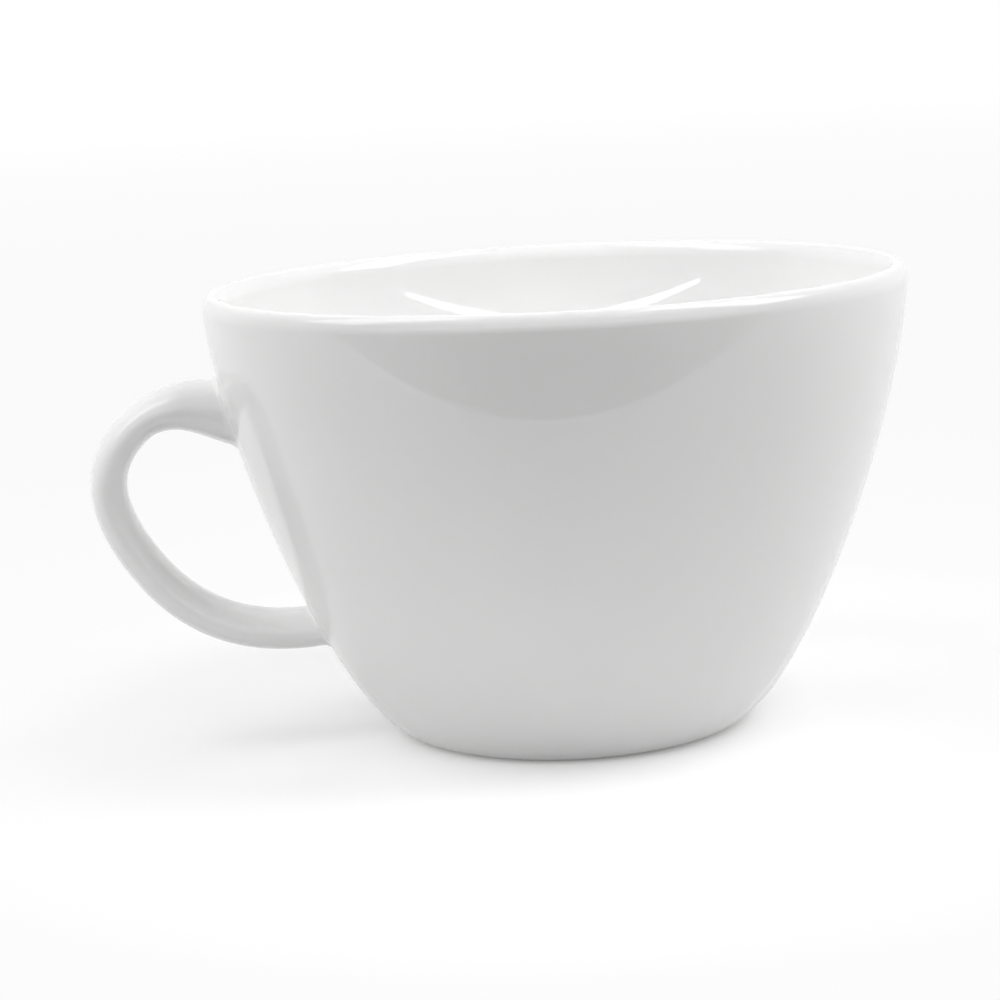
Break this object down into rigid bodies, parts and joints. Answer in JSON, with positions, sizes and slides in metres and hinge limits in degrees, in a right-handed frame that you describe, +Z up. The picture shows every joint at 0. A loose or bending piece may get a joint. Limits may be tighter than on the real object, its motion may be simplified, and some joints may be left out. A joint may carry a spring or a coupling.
{
  "type": "tea cup",
  "caption": "Wide low tea cup with a flaring round wall, rounded lip, recessed foot and one ear-shaped strap handle, in white glazed porcelain, for holding and drinking hot tea.",
  "frame": {"origin": "centre of the foot ring's ground face, on the surface that the cup stands on", "axes": "+Z up along the axis of the bowl, -X towards the handle, so the XZ plane is the cup's mirror plane"},
  "size_m": [0.1127, 0.096, 0.062],
  "materials": {
    "porcelain": "matt fired porcelain, bare",
    "slip": "matt fired slip, bare",
    "glaze": "glossy white glaze"
  },
  "bodies": {
    "root": {"bowl": "porcelain", "handle": "porcelain", "upper_slip_joint": "slip", "lower_slip_joint": "slip", "bowl_glaze": "glaze", "handle_glaze": "glaze", "base_glaze": "glaze"}
  },
  "joints": []
}
